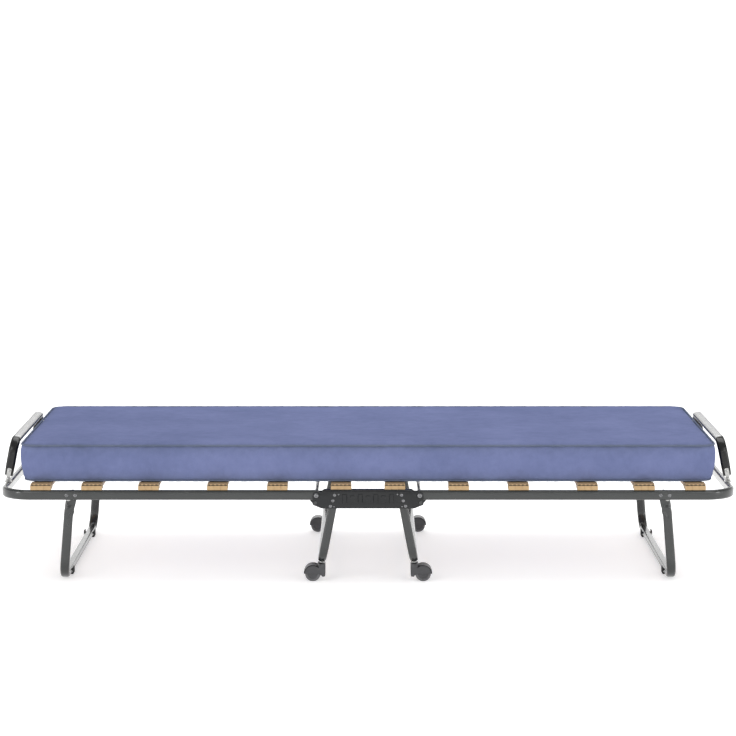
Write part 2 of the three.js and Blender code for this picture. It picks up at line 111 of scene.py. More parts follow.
# ---- Camera ----
def make_camera():
    data = assign(bpy.data.cameras.new("camera"), lens=125.6, sensor_width=36, clip_end=50)
    camera = new_object("camera", data)
    camera.location = (0, -6.9, 1.36)
    camera.rotation_euler = (math.radians(83), 0, 0)
    scene.camera = camera


# ---- Materials ----
class Nodes:
    """A short way to build one material's node tree."""

    def __init__(self, name):
        self.material = bpy.data.materials.new(name)
        self.material.use_nodes = True
        self.tree = self.material.node_tree
        self.shader = self.tree.nodes["Principled BSDF"]

    def add(self, kind, inputs=None, **settings):
        node = assign(self.tree.nodes.new(kind), **settings)
        for key, value in (inputs or {}).items():
            self.put(node, key, value)
        return node

    def put(self, node, socket, value):
        if isinstance(value, bpy.types.NodeSocket):
            self.tree.links.new(value, node.inputs[socket])
        else:
            node.inputs[socket].default_value = value

    def place(self, attribute=None, scale=(1, 1, 1)):
        """Texture coordinates: the object's own, or a stored rest position, stretched."""
        if attribute:
            source = self.add("ShaderNodeAttribute", attribute_name=attribute).outputs["Vector"]
        else:
            source = self.add("ShaderNodeTexCoord").outputs["Object"]
        return self.add("ShaderNodeMapping", {"Vector": source, "Scale": scale}).outputs["Vector"]

    def noise(self, vector, scale, detail=3, roughness=0.5):
        inputs = {"Vector": vector, "Scale": scale, "Detail": detail, "Roughness": roughness}
        return self.add("ShaderNodeTexNoise", inputs).outputs["Fac"]

    def ramp(self, value, stops):
        node = self.add("ShaderNodeValToRGB", {"Fac": value})
        elements = node.color_ramp.elements
        while len(elements) < len(stops):
            elements.new(0.5)
        for element, (place, colour) in zip(elements, stops):
            element.position = place
            element.color = (*colour, 1)
        return node.outputs["Color"]

    def math(self, operation, *values):
        node = self.add("ShaderNodeMath", operation=operation)
        for i, value in enumerate(values):
            self.put(node, i, value)
        return node.outputs[0]

    def mix(self, share, a, b):
        node = self.add("ShaderNodeMix", data_type="RGBA")
        for key, value in zip((0, 6, 7), (share, a, b)):
            if not isinstance(value, bpy.types.NodeSocket) and key:
                value = (*value, 1)
            self.put(node, key, value)
        return node.outputs[2]

    def remap(self, value, low, high):
        node = self.add("ShaderNodeMapRange", {"Value": value, "To Min": low, "To Max": high})
        return node.outputs["Result"]

    def bump(self, height, strength, distance, normal=None):
        inputs = {"Height": height, "Strength": strength, "Distance": distance}
        if normal:
            inputs["Normal"] = normal
        return self.add("ShaderNodeBump", inputs).outputs["Normal"]

    def set(self, **sockets):
        for key, value in sockets.items():
            self.put(self.shader, key.replace("_", " "), value)
        return self.material


def cloudy_material(name, low, high, cloud, rough, grain, **sockets):
    """Two tones in clouds, a roughness that follows them, and a fine grain in the surface."""
    n = Nodes(name)
    place = n.place()
    clouds = n.noise(place, *cloud)
    scale, strength, depth = grain
    return n.set(
        Base_Color=n.ramp(clouds, [(0.3, low), (0.7, high)]),
        Roughness=n.remap(clouds, *rough),
        Normal=n.bump(n.noise(place, scale, 2), strength, depth),
        **sockets,
    )


def paint_material(name, colour, coat=0.5, level=0.5):
    """Dark grey gloss powder coat: orange peel, faint dust and slightly dulled patches."""
    low = tuple(0.75 * c for c in colour)
    return cloudy_material(name, low, colour, (9, 4), (0.2, 0.3), (420, 0.1, 0.0005), Metallic=0.15,
                           Coat_Weight=coat, Coat_Roughness=0.08, Specular_IOR_Level=level)


def zinc_material(name, low, high):
    """Zinc plating with a fine cloudy finish."""
    return cloudy_material(name, low, high, (160, 4, 0.6), (0.18, 0.32), (900, 0.15, 0.0003), Metallic=1.0)


def plastic_material(name, low, high, roughness):
    """Moulded plastic with a fine spark-eroded grain."""
    rough = (roughness - 0.06, roughness + 0.06)
    return cloudy_material(name, low, high, (40, 3), rough, (1500, 0.2, 0.0002))


def wood_material():
    """Pale beech, with its grain along Y."""
    n = Nodes("beech")
    fibres = n.noise(n.place(scale=(1, 0.03, 1)), 260, 4, 0.6)
    tone = n.noise(n.place(scale=(1, 0.12, 1)), 18, 3)
    colour = n.mix(tone, (0.47, 0.29, 0.15), (0.62, 0.42, 0.24))
    return n.set(
        Base_Color=n.mix(n.remap(fibres, 0, 0.7), colour, (0.34, 0.19, 0.09)),
        Roughness=n.remap(fibres, 0.42, 0.62),
        Normal=n.bump(fibres, 0.25, 0.0005),
    )


def cap_material():
    """The tan moulding of the slats' end caps, faintly streaked to look like wood."""
    n = Nodes("tan_cap")
    streaks = n.noise(n.place(scale=(0.25, 1, 1)), 300, 3, 0.6)
    cloud = n.noise(n.place(), 70, 3)
    colour = n.mix(cloud, (0.36, 0.235, 0.115), (0.5, 0.35, 0.18))
    return n.set(
        Base_Color=n.mix(n.remap(streaks, 0, 0.6), colour, (0.27, 0.165, 0.075)),
        Roughness=n.remap(cloud, 0.45, 0.6),
        Normal=n.bump(streaks, 0.2, 0.0004),
    )


def fabric_material(name, low, high):
    """Brushed woven ticking: crossed yarns, a soft nap, changes of tone, and painted grey-green shade towards
    the seams and edges.
    """
    n = Nodes(name)
    place = n.place("rest_place")
    separate = n.add("ShaderNodeSeparateXYZ", {"Vector": place})
    yarn = 2 * math.pi / 0.0016
    waves = [n.math("ABSOLUTE", n.math("SINE", n.math("MULTIPLY", o, yarn))) for o in separate.outputs]
    weave = n.math("ADD", n.math("ADD", waves[0], waves[1]), waves[2])
    nap = n.noise(place, 260, 4, 0.65)
    tone = n.noise(place, 5, 4, 0.55)
    blotch = n.noise(place, 38, 3, 0.6)
    share = n.math("ADD", n.math("MULTIPLY", tone, 0.65), n.math("MULTIPLY", blotch, 0.35))
    colour = n.ramp(share, [(0.35, low), (0.65, high)])
    crumple = n.bump(n.noise(place, 28, 4, 0.6), 0.35, 0.004)
    # Painted shade: the colour is drawn towards a dark grey-green near the seams and rounded edges, unevenly.
    seam_shade_share = n.add("ShaderNodeAttribute", attribute_name="seam").outputs["Fac"]
    uneven_seam_shade = n.math("MULTIPLY", seam_shade_share, n.remap(n.noise(place, 17, 3), 0.1, 1.0))
    colour = n.mix(n.math("MULTIPLY", uneven_seam_shade, 0.75), colour, (0.085, 0.108, 0.115))
    return n.set(
        Base_Color=n.mix(n.remap(nap, 0.0, 0.28), colour, tuple(0.72 * c for c in low)),
        Roughness=0.95,
        Normal=n.bump(weave, 0.25, 0.0004, n.bump(nap, 0.4, 0.0008, crumple)),
        Sheen_Weight=0.02,
        Sheen_Roughness=0.5,
        Specular_IOR_Level=0.0,
    )


def floor_material():
    """Seamless white paper, lit from behind a little, which keeps its shadows light."""
    n = Nodes("paper")
    cloud = n.noise(n.place(), 1.5, 2)
    colour = n.ramp(cloud, [(0.3, (0.84, 0.84, 0.84)), (0.7, (0.86, 0.86, 0.86))])
    return n.set(Base_Color=colour, Roughness=0.8, Emission_Color=(1, 1, 1, 1), Emission_Strength=0.5)


# ---- Geometry ----
class Shell:
    """Closed shells gathered into one piece."""

    def __init__(self):
        self.verts = []
        self.faces = []
        self.slots = []

    def add(self, verts, faces, slot=0):
        base = len(self.verts)
        self.verts.extend(tuple(v) for v in verts)
        self.faces.extend(tuple(base + i for i in face) for face in faces)
        self.slots.extend([slot] * len(faces))

    def loft(self, rings, slot=0):
        """Skins rings of equal size, and closes both ends. A ring of one point is a pole."""
        verts = [p for ring in rings for p in ring]
        starts = np.cumsum([0] + [len(ring) for ring in rings])
        faces = []
        for a, b, ring, following in zip(starts, starts[1:], rings, rings[1:]):
            count = max(len(ring), len(following))
            for i in range(count):
                j = (i + 1) % count
                if len(ring) == 1:
                    faces.append((a, b + j, b + i))
                elif len(following) == 1:
                    faces.append((a + i, a + j, b))
                else:
                    faces.append((a + i, a + j, b + j, b + i))
        if len(rings[0]) > 1:
            faces.append(tuple(range(len(rings[0]) - 1, -1, -1)))
        if len(rings[-1]) > 1:
            faces.append(tuple(range(starts[-2], starts[-1])))
        self.add(verts, faces, slot)

    def lathe(self, centre, axis, profile, segments=32, slot=0):
        """Turns (radius, along) points about an axis through centre."""
        axis = Vector(axis).normalized()
        across = axis.orthogonal().normalized()
        other = axis.cross(across)
        rings = []
        for radius, along in profile:
            middle = Vector(centre) + axis * along
            if radius == 0:
                rings.append([middle])
                continue
            turns = [2 * math.pi * i / segments for i in range(segments)]
            rings.append([middle + radius * (math.cos(t) * across + math.sin(t) * other) for t in turns])
        self.loft(rings, slot)

    def pin(self, centre, axis, radius, length, segments=24):
        """A plain round pin, from centre along the axis."""
        self.lathe(centre, axis, [(0, 0), (radius, 0), (radius, length), (0, length)], segments)

    def prism(self, outline, place, low, high, slot=0):
        """Extrudes a 2-D outline from low to high; place(u, v, w) gives the point in the frame."""
        self.loft([[place(u, v, w) for u, v in outline] for w in (low, high)], slot)

    def box(self, a, b, slot=0):
        """A plain box between two opposite corners."""
        (x0, x1), (y0, y1), (z0, z1) = (sorted(pair) for pair in zip(a, b))
        outline = [(x0, y0), (x1, y0), (x1, y1), (x0, y1)]
        self.prism(outline, lambda u, v, w: (u, v, w), z0, z1, slot)

    def mesh(self, name, mirror=False):
        """The shells as a mesh. mirror turns them half round about Z, for the other end of the bed."""
        mesh = bpy.data.meshes.new(name)
        mesh.from_pydata(self.verts, [], self.faces)
        for face, index in zip(mesh.polygons, self.slots):
            face.material_index = index
        if mirror:
            mesh.transform(Matrix.Rotation(math.pi, 4, "Z"))
        bm = bmesh.new()
        bm.from_mesh(mesh)
        return outward(bm, mesh)

    def piece(self, name, materials, body, replaces=(), bevel=0.0, mirror=False):
        return finish_piece(name, self.mesh(name, mirror), materials, body, replaces, bevel)


def outward(bm, mesh):
    """Turns the faces outward and writes them to the mesh, smooth."""
    bmesh.ops.recalc_face_normals(bm, faces=bm.faces)
    bm.to_mesh(mesh)
    bm.free()
    mesh.polygons.foreach_set("use_smooth", [True] * len(mesh.polygons))
    return mesh


def finish_piece(name, mesh, materials, body, replaces, bevel=0.0, sharp=38):
    obj = new_object(name, mesh)
    for material in materials:
        mesh.materials.append(material)
    mesh.set_sharp_from_angle(angle=math.radians(sharp))
    if bevel:
        modifier = obj.modifiers.new("bevel", "BEVEL")
        assign(modifier, width=bevel, segments=3, limit_method="ANGLE", angle_limit=math.radians(sharp),
               harden_normals=True)
    if body:
        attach(obj, body)
    if replaces:
        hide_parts(*replaces)
    return obj


def arc(centre, radius, start, end, steps):
    """Points on an arc, with the angles in degrees."""
    angles = [math.radians(start + (end - start) * i / steps) for i in range(steps + 1)]
    return [(centre[0] + radius * math.cos(a), centre[1] + radius * math.sin(a)) for a in angles]


def rounded(points, steps=5):
    """A closed outline with each corner (x, y, radius) rounded."""
    outline = []
    for i, (x, y, radius) in enumerate(points):
        corner = Vector((x, y))
        before = (Vector(points[i - 1][:2]) - corner).normalized()
        after = (Vector(points[(i + 1) % len(points)][:2]) - corner).normalized()
        if radius == 0:
            outline.append((x, y))
            continue
        half = before.angle(after) / 2
        start = corner + before * radius / math.tan(half)
        end = corner + after * radius / math.tan(half)
        for k in range(steps + 1):
            t = k / steps
            outline.append(tuple((1 - t) ** 2 * start + 2 * t * (1 - t) * corner + t**2 * end))
    return outline


def rectangle(half, low, high, radius, high_radius=None, steps=5):
    """A rounded rectangle, half wide each way and from low to high, as an outline."""
    other = radius if high_radius is None else high_radius
    corners = [(-half, low, radius), (half, low, radius), (half, high, other), (-half, high, other)]
    return rounded(corners, steps)


def tube_section(size, corner=0.0066, steps=5, flats=1):
    """A flat-oval section as (wide, thick) offsets, with its wide flats in equal strips."""
    u, v = size[0] / 2 - corner, size[1] / 2 - corner
    quarters = [((u, v), 0), ((-u, v), 90), ((-u, -v), 180), ((u, -v), 270)]
    section = []
    for centre, start in quarters:
        section += arc(centre, corner, start, start + 90, steps)
        if start in (0, 180):
            x, y = section[-1]
            section += [(x - 2 * x * k / flats, y) for k in range(1, flats)]
    return section


def bent_path(corners, radii, steps=14):
    """A run of tube through corners, each rounded to its radius."""
    path = [Vector(corners[0])]
    for before, here, after, radius in zip(corners, corners[1:], corners[2:], radii):
        here = Vector(here)
        a = (Vector(before) - here).normalized()
        b = (Vector(after) - here).normalized()
        half = a.angle(b) / 2
        centre = here + (a + b).normalized() * radius / math.sin(half)
        start = here + a * radius / math.tan(half) - centre
        end = here + b * radius / math.tan(half) - centre
        sweep = start.angle(end)
        for k in range(steps + 1):
            t = k / steps
            spoke = (math.sin((1 - t) * sweep) * start + math.sin(t * sweep) * end) / math.sin(sweep)
            path.append(centre + spoke)
    path.append(Vector(corners[-1]))
    return path


def fill_in(path, spacing):
    """The same run with extra stations on its straight stretches."""
    dense = [path[0]]
    for a, b in zip(path, path[1:]):
        count = max(1, round((b - a).length / spacing))
        dense.extend(a.lerp(b, i / count) for i in range(1, count + 1))
    return dense


def sweep_tube(shell, path, wide_along, size, shape=None, slot=0, flats=1):
    """Sweeps a flat-oval section. shape(distance from the nearer end) gives its width and thickness."""
    wide_along = Vector(wide_along)
    section = tube_section(size, flats=flats)
    lengths = np.concatenate([[0], np.cumsum([(b - a).length for a, b in zip(path, path[1:])])])
    rings = []
    for i, point in enumerate(path):
        into = (point - path[max(i - 1, 0)]).normalized()
        out = (path[min(i + 1, len(path) - 1)] - point).normalized()
        tangent = (into + out).normalized()
        wide = (wide_along - tangent * wide_along.dot(tangent)).normalized()
        thick = tangent.cross(wide)
        w, t = shape(min(lengths[i], lengths[-1] - lengths[i])) if shape else (1, 1)
        rings.append([point + wide * (u * w) + thick * (v * t) for u, v in section])
    shell.loft(rings, slot)


def smooth(t):
    t = min(max(t, 0), 1)
    return t * t * (3 - 2 * t)


def flattened_end(radius, flat, wider, length, until=None):
    """A tube's end: rounded off over its radius, pressed flat, and back to its section over a length."""
    until = radius if until is None else until

    def shape(distance):
        press = 1 - smooth((distance - until) / length)
        width = 1 + (wider - 1) * press
        thickness = 1 + (flat - 1) * press
        if distance < radius:
            rim = math.sqrt(max(1 - (1 - distance / radius) ** 2, 0.0))
            width *= max(rim, 0.12)
        return width, thickness

    return shape


def round_head(shell, centre, axis, radius, height, slot=0, dimple=0.0):
    """A domed rivet or bolt head standing on a face, with an optional dimple."""
    rim = [(0, 0), (radius, 0), (radius, height * 0.25)]
    angles = np.linspace(0.15, 1.35, 6)
    dome = [(radius * math.cos(a), height * (0.25 + 0.75 * math.sin(a))) for a in angles]
    if dimple:
        dome = [p for p in dome if p[0] > dimple] + [(dimple, height * 0.93), (dimple * 0.8, height * 0.5)]
        profile = rim + dome + [(0, height * 0.45)]
    else:
        profile = rim + dome + [(0, height)]
    shell.lathe(centre, axis, profile, 20, slot)


# ---- The frame's tubes ----
def with_round_ends(path, into, radius):
    """Adds the stations that a rounded end needs, and the same at the far end."""
    near = [path[0] + into * radius * smooth(i / 8) for i in range(9)]
    return near + path[1:-1] + [Vector((p.x, -p.y, p.z)) for p in reversed(near)]


def wing_frames(paint):
    for side in SIDES:
        y = RAIL_Y
        radius = WING_TUBE[0] / 2
        start = -PIVOT_X + radius
        corners = [(start, -y, PIVOT_Z), (-END_X, -y, PIVOT_Z), (-END_X, y, PIVOT_Z), (start, y, PIVOT_Z)]
        path = with_round_ends(bent_path(corners, [0.075, 0.075]), Vector((-1, 0, 0)), radius)
        shell = Shell()
        sweep_tube(shell, fill_in(path, 0.04), (0, 0, 1), WING_TUBE, flattened_end(radius, 0.86, 1, 0.03))
        shell.piece(f"wing_tube_{side}", [paint], f"wing_{side}", [f"wing_frame_{side}"],
                    mirror=side == "right")


def leg_corners():
    """The near half of the left end leg, from its pivot down to the middle of the cross tube."""
    lo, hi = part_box("foot_clip_near_left")
    low_x = (lo.x + hi.x) / 2
    low_z = lo.z + 0.0105
    near = [(-LEG_X, -LEG_Y, LEG_Z), (-LEG_X - 0.01, -LEG_Y, LEG_Z - 0.045), (low_x, -LEG_Y, low_z)]
    return near, low_x, low_z


def elbow_dent(v):
    """The slanted dent that bending has pressed into the tube's elbow, with a small lip beside it."""
    across, up = v.x + LEG_X + 0.0055, v.z - LEG_Z + 0.046
    along = (across + 1.6 * up) / 1.89
    over = (1.6 * across - up) / 1.89
    dent = math.exp(-((along / 0.013) ** 2) - (over / 0.0035) ** 2)
    lip = math.exp(-((up / 0.007) ** 2)) * smooth((across - 0.001) / 0.006)
    if abs(v.y) < LEG_Y - 0.02:
        return v
    face = math.copysign(1, v.y) * math.copysign(1, abs(v.y) - LEG_Y)
    return Vector((v.x + 0.0022 * lip, v.y - face * 0.0032 * dent, v.z))


def end_legs(paint):
    near, _, _ = leg_corners()
    up = (Vector(near[0]) - Vector(near[1])).normalized()
    radius = LEG_TUBE[0] / 2
    near[0] = tuple(Vector(near[0]) + up * radius)
    far = [(x, -y, z) for x, y, z in reversed(near)]
    path = with_round_ends(bent_path([*near, *far], [0.06, 0.045, 0.045, 0.06], 12), -up, radius)
    for side in SIDES:
        shell = Shell()
        crimp = flattened_end(radius, 0.5, 1.12, 0.016, 0.036)
        sweep_tube(shell, fill_in(path, 0.004), (1, 0, 0), LEG_TUBE, crimp, flats=8)
        shell.verts = [elbow_dent(Vector(v)) for v in shell.verts]
        for sign in (-1, 1):
            pin = (-LEG_X - (LINK_X - PIVOT_X), sign * LEG_Y, LEG_Z - (PIVOT_Z - LINK_Z))
            profile = [(0, 0), (0.006, 0), (0.006, 0.007), (0.003, 0.0072), (0.003, 0.0128), (0.0024, 0.0136),
                       (0, 0.0136)]
            shell.lathe(pin, (0, sign, 0), profile, 20)
        shell.piece(f"end_leg_tube_{side}", [paint], f"leg_{side}", [f"end_leg_{side}"],
                    mirror=side == "right")


def caster_legs(paint):
    top_x, top_z = 0.0837, PIVOT_Z + 0.008
    low = 0.058
    y = 0.388
    corners = [(-top_x, -y, top_z), (-CASTER_X, -y, low), (-CASTER_X, y, low), (-top_x, y, top_z)]
    path = fill_in(bent_path(corners, [0.042, 0.042]), 0.03)
    for side in SIDES:
        shell = Shell()
        sweep_tube(shell, path, (1, 0, 0), CASTER_TUBE)
        shell.piece(f"caster_leg_tube_{side}", [paint], "base", [f"caster_leg_{side}"],
                    mirror=side == "right")


def retainers(paint, zinc):
    lean = math.radians(11)
    turn = Matrix.Translation((-HINGE_X, 0, HINGE_Z)) @ Matrix.Rotation(lean, 4, "Y")
    y, foot, top = RETAINER_Y, 0.009, 0.103
    corners = [(0, -y, foot), (0, -y, top), (0, y, top), (0, y, foot)]
    path = [turn @ p for p in fill_in(bent_path(corners, [0.035, 0.035]), 0.015)]
    wide = turn.to_3x3() @ Vector((1, 0, 0))
    face = LEG_TUBE[1] / 2 * 0.9
    tongue = rectangle(0.0045, -0.0048, 0.012, 0.004, 0)
    leaf = rectangle(0.0055, 0.006, 0.029, 0.002, 0.0035)

    def pinched(distance):
        press = 1 - smooth(distance / 0.022)
        return 1 - 0.12 * press, 1 - 0.4 * press

    for side in SIDES:
        shell = Shell()
        sweep_tube(shell, path, wide, LEG_TUBE, pinched)
        for sign in (-1, 1):
            place = lambda u, v, w: turn @ Vector((u, sign * (y + w), v))
            shell.prism(tongue, place, -0.003, 0.003, 1)
            shell.prism(leaf, place, face * 0.6, face + 0.0012, 1)
            rivet = turn @ Vector((0, sign * (y + face + 0.001), 0.022))
            round_head(shell, rivet, (0, sign, 0), 0.0032, 0.0014, 1)
        shell.piece(f"retainer_tube_{side}", [paint, zinc], f"retainer_{side}",
                    [f"retainer_{side}"], mirror=side == "right")


# ---- Base ----
def plate_outline(reach):
    """A side plate's web, from above the pivots round to the bottom, as (x, z) from the pivots' height."""
    return [(0.110, 0.015, 0.0), (0.118, 0.0095, 0.003), (PIVOT_X, 0.0095, 0.004), (reach, 0.0, 0.006),
            (reach, -0.017, 0.003), (0.1425, -0.024, 0.003), (0.119, -0.0335, 0.006)]


def fold_sheet(points, outer_y, inner_y, top, radius):
    """Bends the blank of an inverted channel: s runs up the outer web, over the top and down the inner."""
    rise = top - radius
    bend = math.pi / 2 * radius
    width = abs(outer_y - inner_y)
    whole = 2 * (rise + bend - radius) + width
    sign = 1 if inner_y > outer_y else -1
    bent = []
    for x, s, lift in points:
        past_middle = s > whole / 2
        run = whole - s if past_middle else s
        if run <= rise:
            y, z, ny, nz = 0.0, run, -1.0, 0.0
        elif run <= rise + bend:
            a = (run - rise) / radius
            y, z = radius * (1 - math.cos(a)), rise + radius * math.sin(a)
            ny, nz = -math.cos(a), math.sin(a)
        else:
            y, z, ny, nz = radius + run - rise - bend, top, 0.0, 1.0
        if past_middle:
            y, ny = width - y, -ny
        bent.append((x, outer_y + sign * (y + ny * lift), PIVOT_Z + z + nz * lift))
    return bent


RIBS = [i * 0.02 for i in range(-3, 4)]
RIB_HALF = 0.0042
RIB_PROUD = 0.0016
RIB_EDGE = 0.0014
RIB_SPANS = ((-0.0205, 0.0025), (-0.0165, -0.0015))  # long and short ribs by turns


def rib_lift(x, z):
    """How far the embossed ribs stand out at a place on the outer web."""
    for i, centre in enumerate(RIBS):
        low, high = RIB_SPANS[i % 2]
        if abs(x - centre) <= RIB_HALF + 1e-6 and low - 1e-6 <= z <= high + 1e-6:
            return RIB_PROUD
    return 0.0


def side_plates(paint, zinc):
    radius = 0.004
    top = 0.015 - PLATE / 2
    for row, sign in ROWS.items():
        outer_y, inner_y = sign * PLATE_Y, sign * INNER_WEB_Y
        across = abs(outer_y - inner_y) - 2 * radius
        over = 2 * (top - radius) + math.pi * radius + across  # the inner web, level with the pivots
        outer = rounded_half(plate_outline(0.1425))
        inner = [(x, over - z) for x, z in reversed(rounded_half(plate_outline(0.149)))]
        right = [(x, z) for x, z in reversed(outer)] + [(x, s) for x, s in reversed(inner)]
        blank = right + [(-x, s) for x, s in reversed(right)]
        bm = bmesh.new()
        bm.faces.new([bm.verts.new((x, s, 0)) for x, s in blank])
        cuts = [("y", s) for s in np.linspace(top - radius, top - radius + math.pi / 2 * radius, 6)]
        cuts += [("y", over - s) for _, s in cuts]
        for low, high in RIB_SPANS:
            cuts += [("y", z) for z in (low - RIB_EDGE, low, high, high + RIB_EDGE)]
        rib_edges = (-RIB_HALF - RIB_EDGE, -RIB_HALF, RIB_HALF, RIB_HALF + RIB_EDGE)
        cuts += [("x", centre + edge) for centre in RIBS for edge in rib_edges]
        for axis, value in cuts:
            normal = (1, 0, 0) if axis == "x" else (0, 1, 0)
            point = tuple(value * c for c in normal)
            bmesh.ops.bisect_plane(bm, geom=bm.verts[:] + bm.edges[:] + bm.faces[:], plane_co=point,
                                   plane_no=normal, dist=1e-6)
        bent = fold_sheet([(v.co.x, v.co.y, rib_lift(v.co.x, v.co.y)) for v in bm.verts],
                          outer_y, inner_y, top, radius)
        for vert, place in zip(bm.verts, bent):
            vert.co = place
        name = f"side_plate_sheet_{row}"
        mesh = outward(bm, bpy.data.meshes.new(name))
        obj = finish_piece(name, mesh, [paint], "base", [f"side_plate_{row}"])
        assign(obj.modifiers.new("sheet", "SOLIDIFY"), thickness=PLATE, offset=0)
        bevel = obj.modifiers.new("edges", "BEVEL")
        assign(bevel, width=0.0006, segments=2, limit_method="ANGLE", angle_limit=math.radians(50))
        plate_fasteners(row, sign, zinc)


def rounded_half(points):
    """The rounded outline of one half of a symmetric web, cut at the middle."""
    closed = [(0.0, points[0][1], 0.0), *points, (0.0, points[-1][1], 0.0)]
    return [p for p in rounded(closed) if p[0] > 1e-6]


def plate_fasteners(row, sign, zinc):
    face = sign * HALF_WIDTH
    shell = Shell()
    for side in (-1, 1):
        for x, z, radius in ((0.086, 0.001, 0.0042), (0.0755, 0.003, 0.0022), (0.0905, -0.0135, 0.0042),
                             (0.0965, -0.0275, 0.0042), (0.0875, -0.0285, 0.0022)):
            round_head(shell, (side * x, face, PIVOT_Z + z), (0, sign, 0), radius, 0.0018, 0, radius * 0.4)
        pin = (side * LINK_X, sign * (INNER_WEB_Y - 0.0012), LINK_Z)
        profile = [(0, 0), (0.003, 0), (0.003, 0.0042), (0.0024, 0.005), (0, 0.005)]
        shell.lathe(pin, (0, -sign, 0), profile, 20)
    shell.piece(f"plate_rivets_{row}", [zinc], "base")


def tie_rods(paint):
    for side in SIDES:
        shell = Shell()
        lo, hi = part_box(f"tie_rod_{side}")
        centre = ((lo.x + hi.x) / 2, lo.y - 0.001, (lo.z + hi.z) / 2)
        length = hi.y - lo.y + 0.002
        head = [(0, 0), (0.0042, 0), (0.0052, 0.0012), (0.0052, 0.0024), (0.005, 0.003)]
        profile = head + [(r, length - y) for r, y in reversed(head)]
        shell.lathe(centre, (0, 1, 0), profile, 28)
        shell.piece(f"tie_rod_bar_{side}", [paint], "base", [f"tie_rod_{side}"])


def pivot_bolts(paint, zinc):
    washer = [(0, 0), (0.0085, 0), (0.0088, 0.0004), (0.0085, 0.001), (0, 0.001)]
    shank = [(0, 0), (0.004, 0), (0.004, 0.0243), (0.0034, 0.025), (0, 0.025)]
    for corner, sign, side, end in CORNERS:
        shell = Shell()
        face = Vector((end * PIVOT_X, sign * (HALF_WIDTH + 0.0003), PIVOT_Z))
        out = Vector((0, sign, 0))
        shell.lathe(face, out, washer, 32, 1)
        round_head(shell, face + out * 0.001, out, 0.0062, 0.0032, 0, 0.0022)
        shell.lathe(face, -out, shank, 24)
        shell.piece(f"pivot_rivet_{corner}", [zinc, paint], "base", [f"pivot_bolt_{corner}"])


# ---- Slats ----
BOARD_HALF = 0.025
BOARD_THICK = 0.011
BOARD_SUNK = 0.003  # below the caps' tops
CAP_LENGTH = 0.040


def slats(wood, tan, dark):
    for node in sorted(n for n in frame["nodes"] if "slat" in n):
        lo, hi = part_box(node)
        side = "left" if lo.x < 0 else "right"
        body = "base" if node.startswith("base") else f"wing_{side}"
        mid = (lo.x + hi.x) / 2
        level = hi.z - BOARD_SUNK - BOARD_THICK / 2
        reach = hi.y - 0.004
        outline = rectangle(BOARD_HALF, -BOARD_THICK / 2, BOARD_THICK / 2, 0.0025, steps=4)
        rings = []
        for y in np.linspace(-reach, reach, 29):
            camber = -0.001 * (1 - (y / reach) ** 2)
            rings.append([(mid + u, y, level + v + camber) for u, v in outline])
        board = Shell()
        board.loft(rings)
        board.piece(f"{node}_board", [wood], body, [node])
        caps = Shell()
        for sign in (-1, 1):
            slat_cap(caps, mid, sign, lo, hi)
        caps.piece(f"{node}_caps", [tan, dark], body, bevel=0.0007)


def slat_cap(shell, mid, sign, lo, hi):
    """One moulded end cap: three blocks, a groove over them, and a lip with a row of slots; the groove and
    the slots are coloured dark as painted shade.
    """
    half = (hi.x - lo.x) / 2
    blocks, slots = 3, 5
    slot_half = 0.0031
    gap = 0.0003

    def block(x0, x1, y0, y1, z0, z1, colour=0):
        """y runs inwards from the cap's outer face, and z up from the cap's top."""
        first = (mid + x0, sign * (hi.y - y0), hi.z + z0)
        shell.box(first, (mid + x1, sign * (hi.y - y1), hi.z + z1), colour)

    for k in range(blocks):
        left = -half + k * 2 * half / blocks + (gap if k else 0)
        block(left, left + 2 * half / blocks - (gap if k else 0), 0, CAP_LENGTH, lo.z - hi.z, -0.0044)
    # The groove, set back from the face and coloured dark: painted shade.
    block(-half + 0.001, half - 0.001, 0.001, CAP_LENGTH - 0.0005, -0.0048, -0.0026, 1)
    block(-half + 0.0007, half - 0.0007, 0.0008, CAP_LENGTH, -0.0030, 0)
    # The slots, as dark patches on the lip's face: painted shade.
    for k in range(slots):
        x = -half + (k + 0.5) * 2 * half / slots
        block(x - slot_half, x + slot_half, 0.0003, 0.006, -0.0031, -0.0009, 1)


# ---- Legs' brackets, links and feet ----
def leg_brackets(zinc, dark):
    outline = rectangle(0.024, -0.011, 0.011, 0.006)
    thick = 0.003
    for corner, sign, side, end in CORNERS:
        shell = Shell()
        inner = sign * (RAIL_Y - WING_TUBE[1] / 2)
        outer = sign * (RAIL_Y + WING_TUBE[1] / 2)
        place = lambda u, v, w: (end * LEG_X + u, inner - sign * w, PIVOT_Z + v)
        shell.prism(outline, place, 0.0003, thick)
        for k in (-1, 1):
            x = end * LEG_X + k * RIVET_PITCH / 2
            round_head(shell, (x, outer + sign * 0.0001, PIVOT_Z), (0, sign, 0), 0.0048, 0.0022, 1, 0.002)
            round_head(shell, (x, inner - sign * thick, PIVOT_Z), (0, -sign, 0), 0.0045, 0.0016)
        pin = Vector((end * LEG_X, inner - sign * 0.002, LEG_Z))
        shell.pin(pin, (0, -sign, 0), 0.004, 0.0245)
        washer = Vector((pin.x, sign * (LEG_Y - LEG_TUBE[1] / 2 - 0.0004), LEG_Z))
        shell.pin(washer, (0, -sign, 0), 0.0075, 0.001, 28)
        round_head(shell, washer - Vector((0, sign * 0.001, 0)), (0, -sign, 0), 0.0058, 0.0024, 0, 0.002)
        shell.piece(f"leg_pivot_{corner}", [zinc, dark], f"wing_{side}",
                    [f"leg_bracket_{corner}"], bevel=0.0004)


